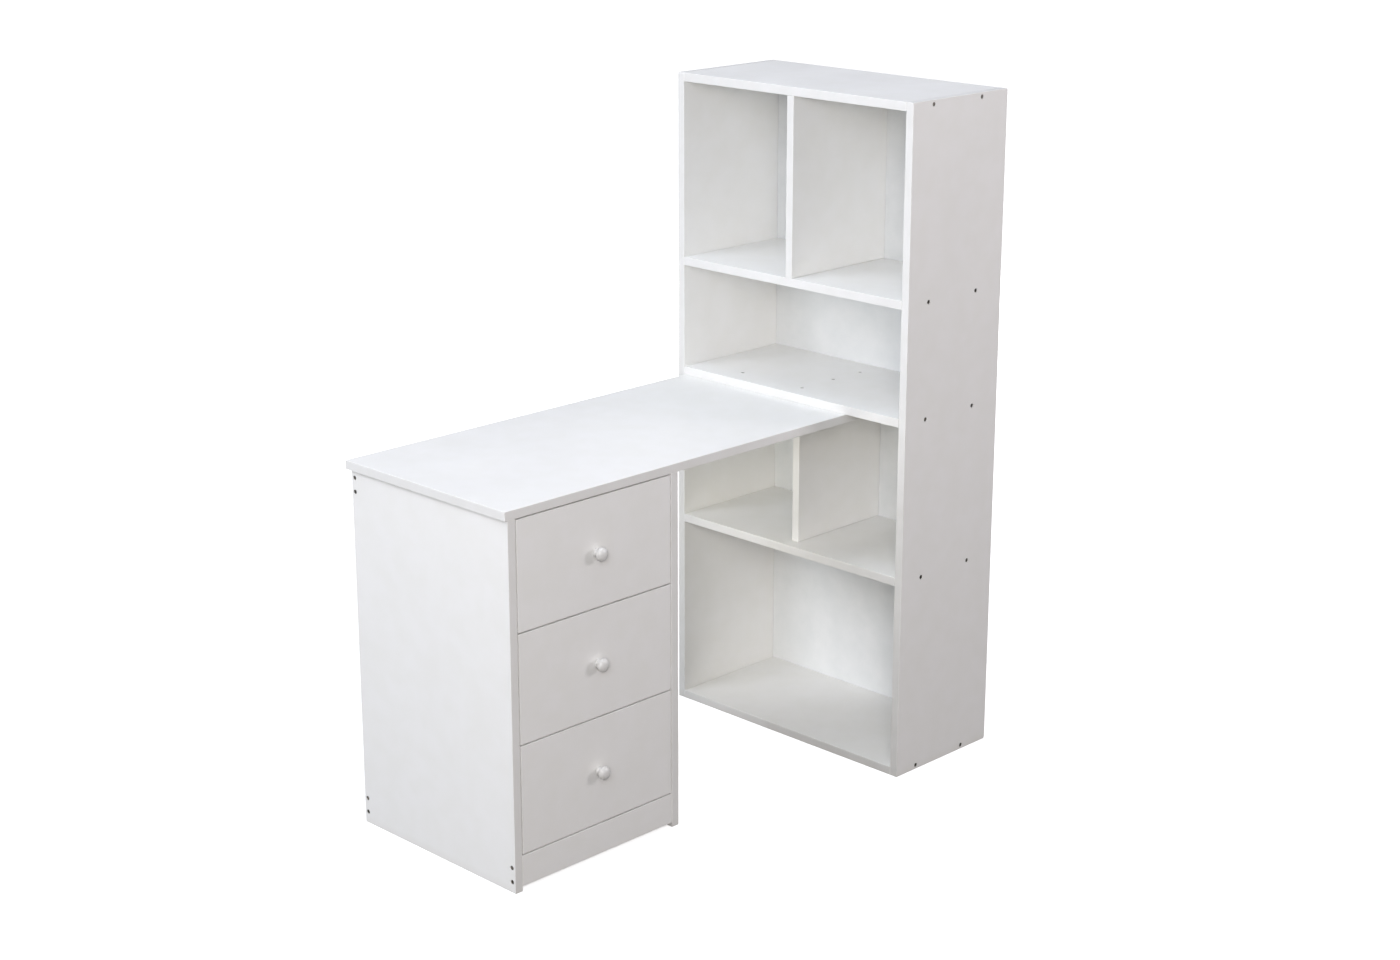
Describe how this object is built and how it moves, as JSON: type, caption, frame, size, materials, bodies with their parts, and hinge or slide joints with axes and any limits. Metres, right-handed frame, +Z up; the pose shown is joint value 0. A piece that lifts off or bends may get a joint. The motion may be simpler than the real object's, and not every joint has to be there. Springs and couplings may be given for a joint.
{
  "type": "corner desk",
  "caption": "Desk on a drawer pedestal whose top runs into a tall open bookcase set across its end, all in white faced board.",
  "frame": {"origin": "on the floor, under the middle of the whole desk's box", "axes": "+X towards the sitter (the drawers open that way), +Y along the desk towards the bookcase, +Z up"},
  "size_m": [0.64, 1.207, 1.4],
  "materials": {
    "white_melamine": "chipboard faced with smooth semi-gloss white melamine, white edge banding",
    "white_hardboard": "thin hardboard with a white painted face",
    "white_plastic": "moulded, glossy",
    "zinc_steel": "zinc-plated rolled steel",
    "nickel_steel": "nickel-plated screw steel"
  },
  "bodies": {
    "carcass": {"bookcase_back_panel": "white_hardboard", "bookcase_bottom": "white_melamine", "bookcase_desk_shelf": "white_melamine", "bookcase_left_side": "white_melamine", "bookcase_lower_divider": "white_melamine", "bookcase_lower_shelf": "white_melamine", "bookcase_right_side": "white_melamine", "bookcase_top": "white_melamine", "bookcase_upper_divider": "white_melamine", "bookcase_upper_shelf": "white_melamine", "bottom_slide_left_outer_rail": "zinc_steel", "bottom_slide_right_outer_rail": "zinc_steel", "desk_shelf_screw_1": "nickel_steel", "desk_shelf_screw_2": "nickel_steel", "desk_shelf_screw_3": "nickel_steel", "desk_shelf_screw_4": "nickel_steel", "desktop": "white_melamine", "middle_slide_left_outer_rail": "zinc_steel", "middle_slide_right_outer_rail": "zinc_steel", "pedestal_back_bottom_rail": "white_melamine", "pedestal_back_top_rail": "white_melamine", "pedestal_inner_side": "white_melamine", "pedestal_outer_side": "white_melamine", "pedestal_plinth": "white_melamine", "top_slide_left_outer_rail": "zinc_steel", "top_slide_right_outer_rail": "zinc_steel"},
    "top_drawer": {"top_drawer_back": "white_melamine", "top_drawer_bottom": "white_hardboard", "top_drawer_front": "white_melamine", "top_drawer_knob": "white_plastic", "top_drawer_knob_screw": "nickel_steel", "top_drawer_left_side": "white_melamine", "top_drawer_right_side": "white_melamine", "top_slide_left_inner_rail": "zinc_steel", "top_slide_right_inner_rail": "zinc_steel"},
    "middle_drawer": {"middle_drawer_back": "white_melamine", "middle_drawer_bottom": "white_hardboard", "middle_drawer_front": "white_melamine", "middle_drawer_knob": "white_plastic", "middle_drawer_knob_screw": "nickel_steel", "middle_drawer_left_side": "white_melamine", "middle_drawer_right_side": "white_melamine", "middle_slide_left_inner_rail": "zinc_steel", "middle_slide_right_inner_rail": "zinc_steel"},
    "bottom_drawer": {"bottom_drawer_back": "white_melamine", "bottom_drawer_bottom": "white_hardboard", "bottom_drawer_front": "white_melamine", "bottom_drawer_knob": "white_plastic", "bottom_drawer_knob_screw": "nickel_steel", "bottom_drawer_left_side": "white_melamine", "bottom_drawer_right_side": "white_melamine", "bottom_slide_left_inner_rail": "zinc_steel", "bottom_slide_right_inner_rail": "zinc_steel"}
  },
  "joints": [
    {"name": "top_drawer_slide", "type": "slide", "parent": "carcass", "child": "top_drawer", "axis": [1, 0, 0], "range_m": [0, 0.3]},
    {"name": "middle_drawer_slide", "type": "slide", "parent": "carcass", "child": "middle_drawer", "axis": [1, 0, 0], "range_m": [0, 0.3]},
    {"name": "bottom_drawer_slide", "type": "slide", "parent": "carcass", "child": "bottom_drawer", "axis": [1, 0, 0], "range_m": [0, 0.3]}
  ]
}
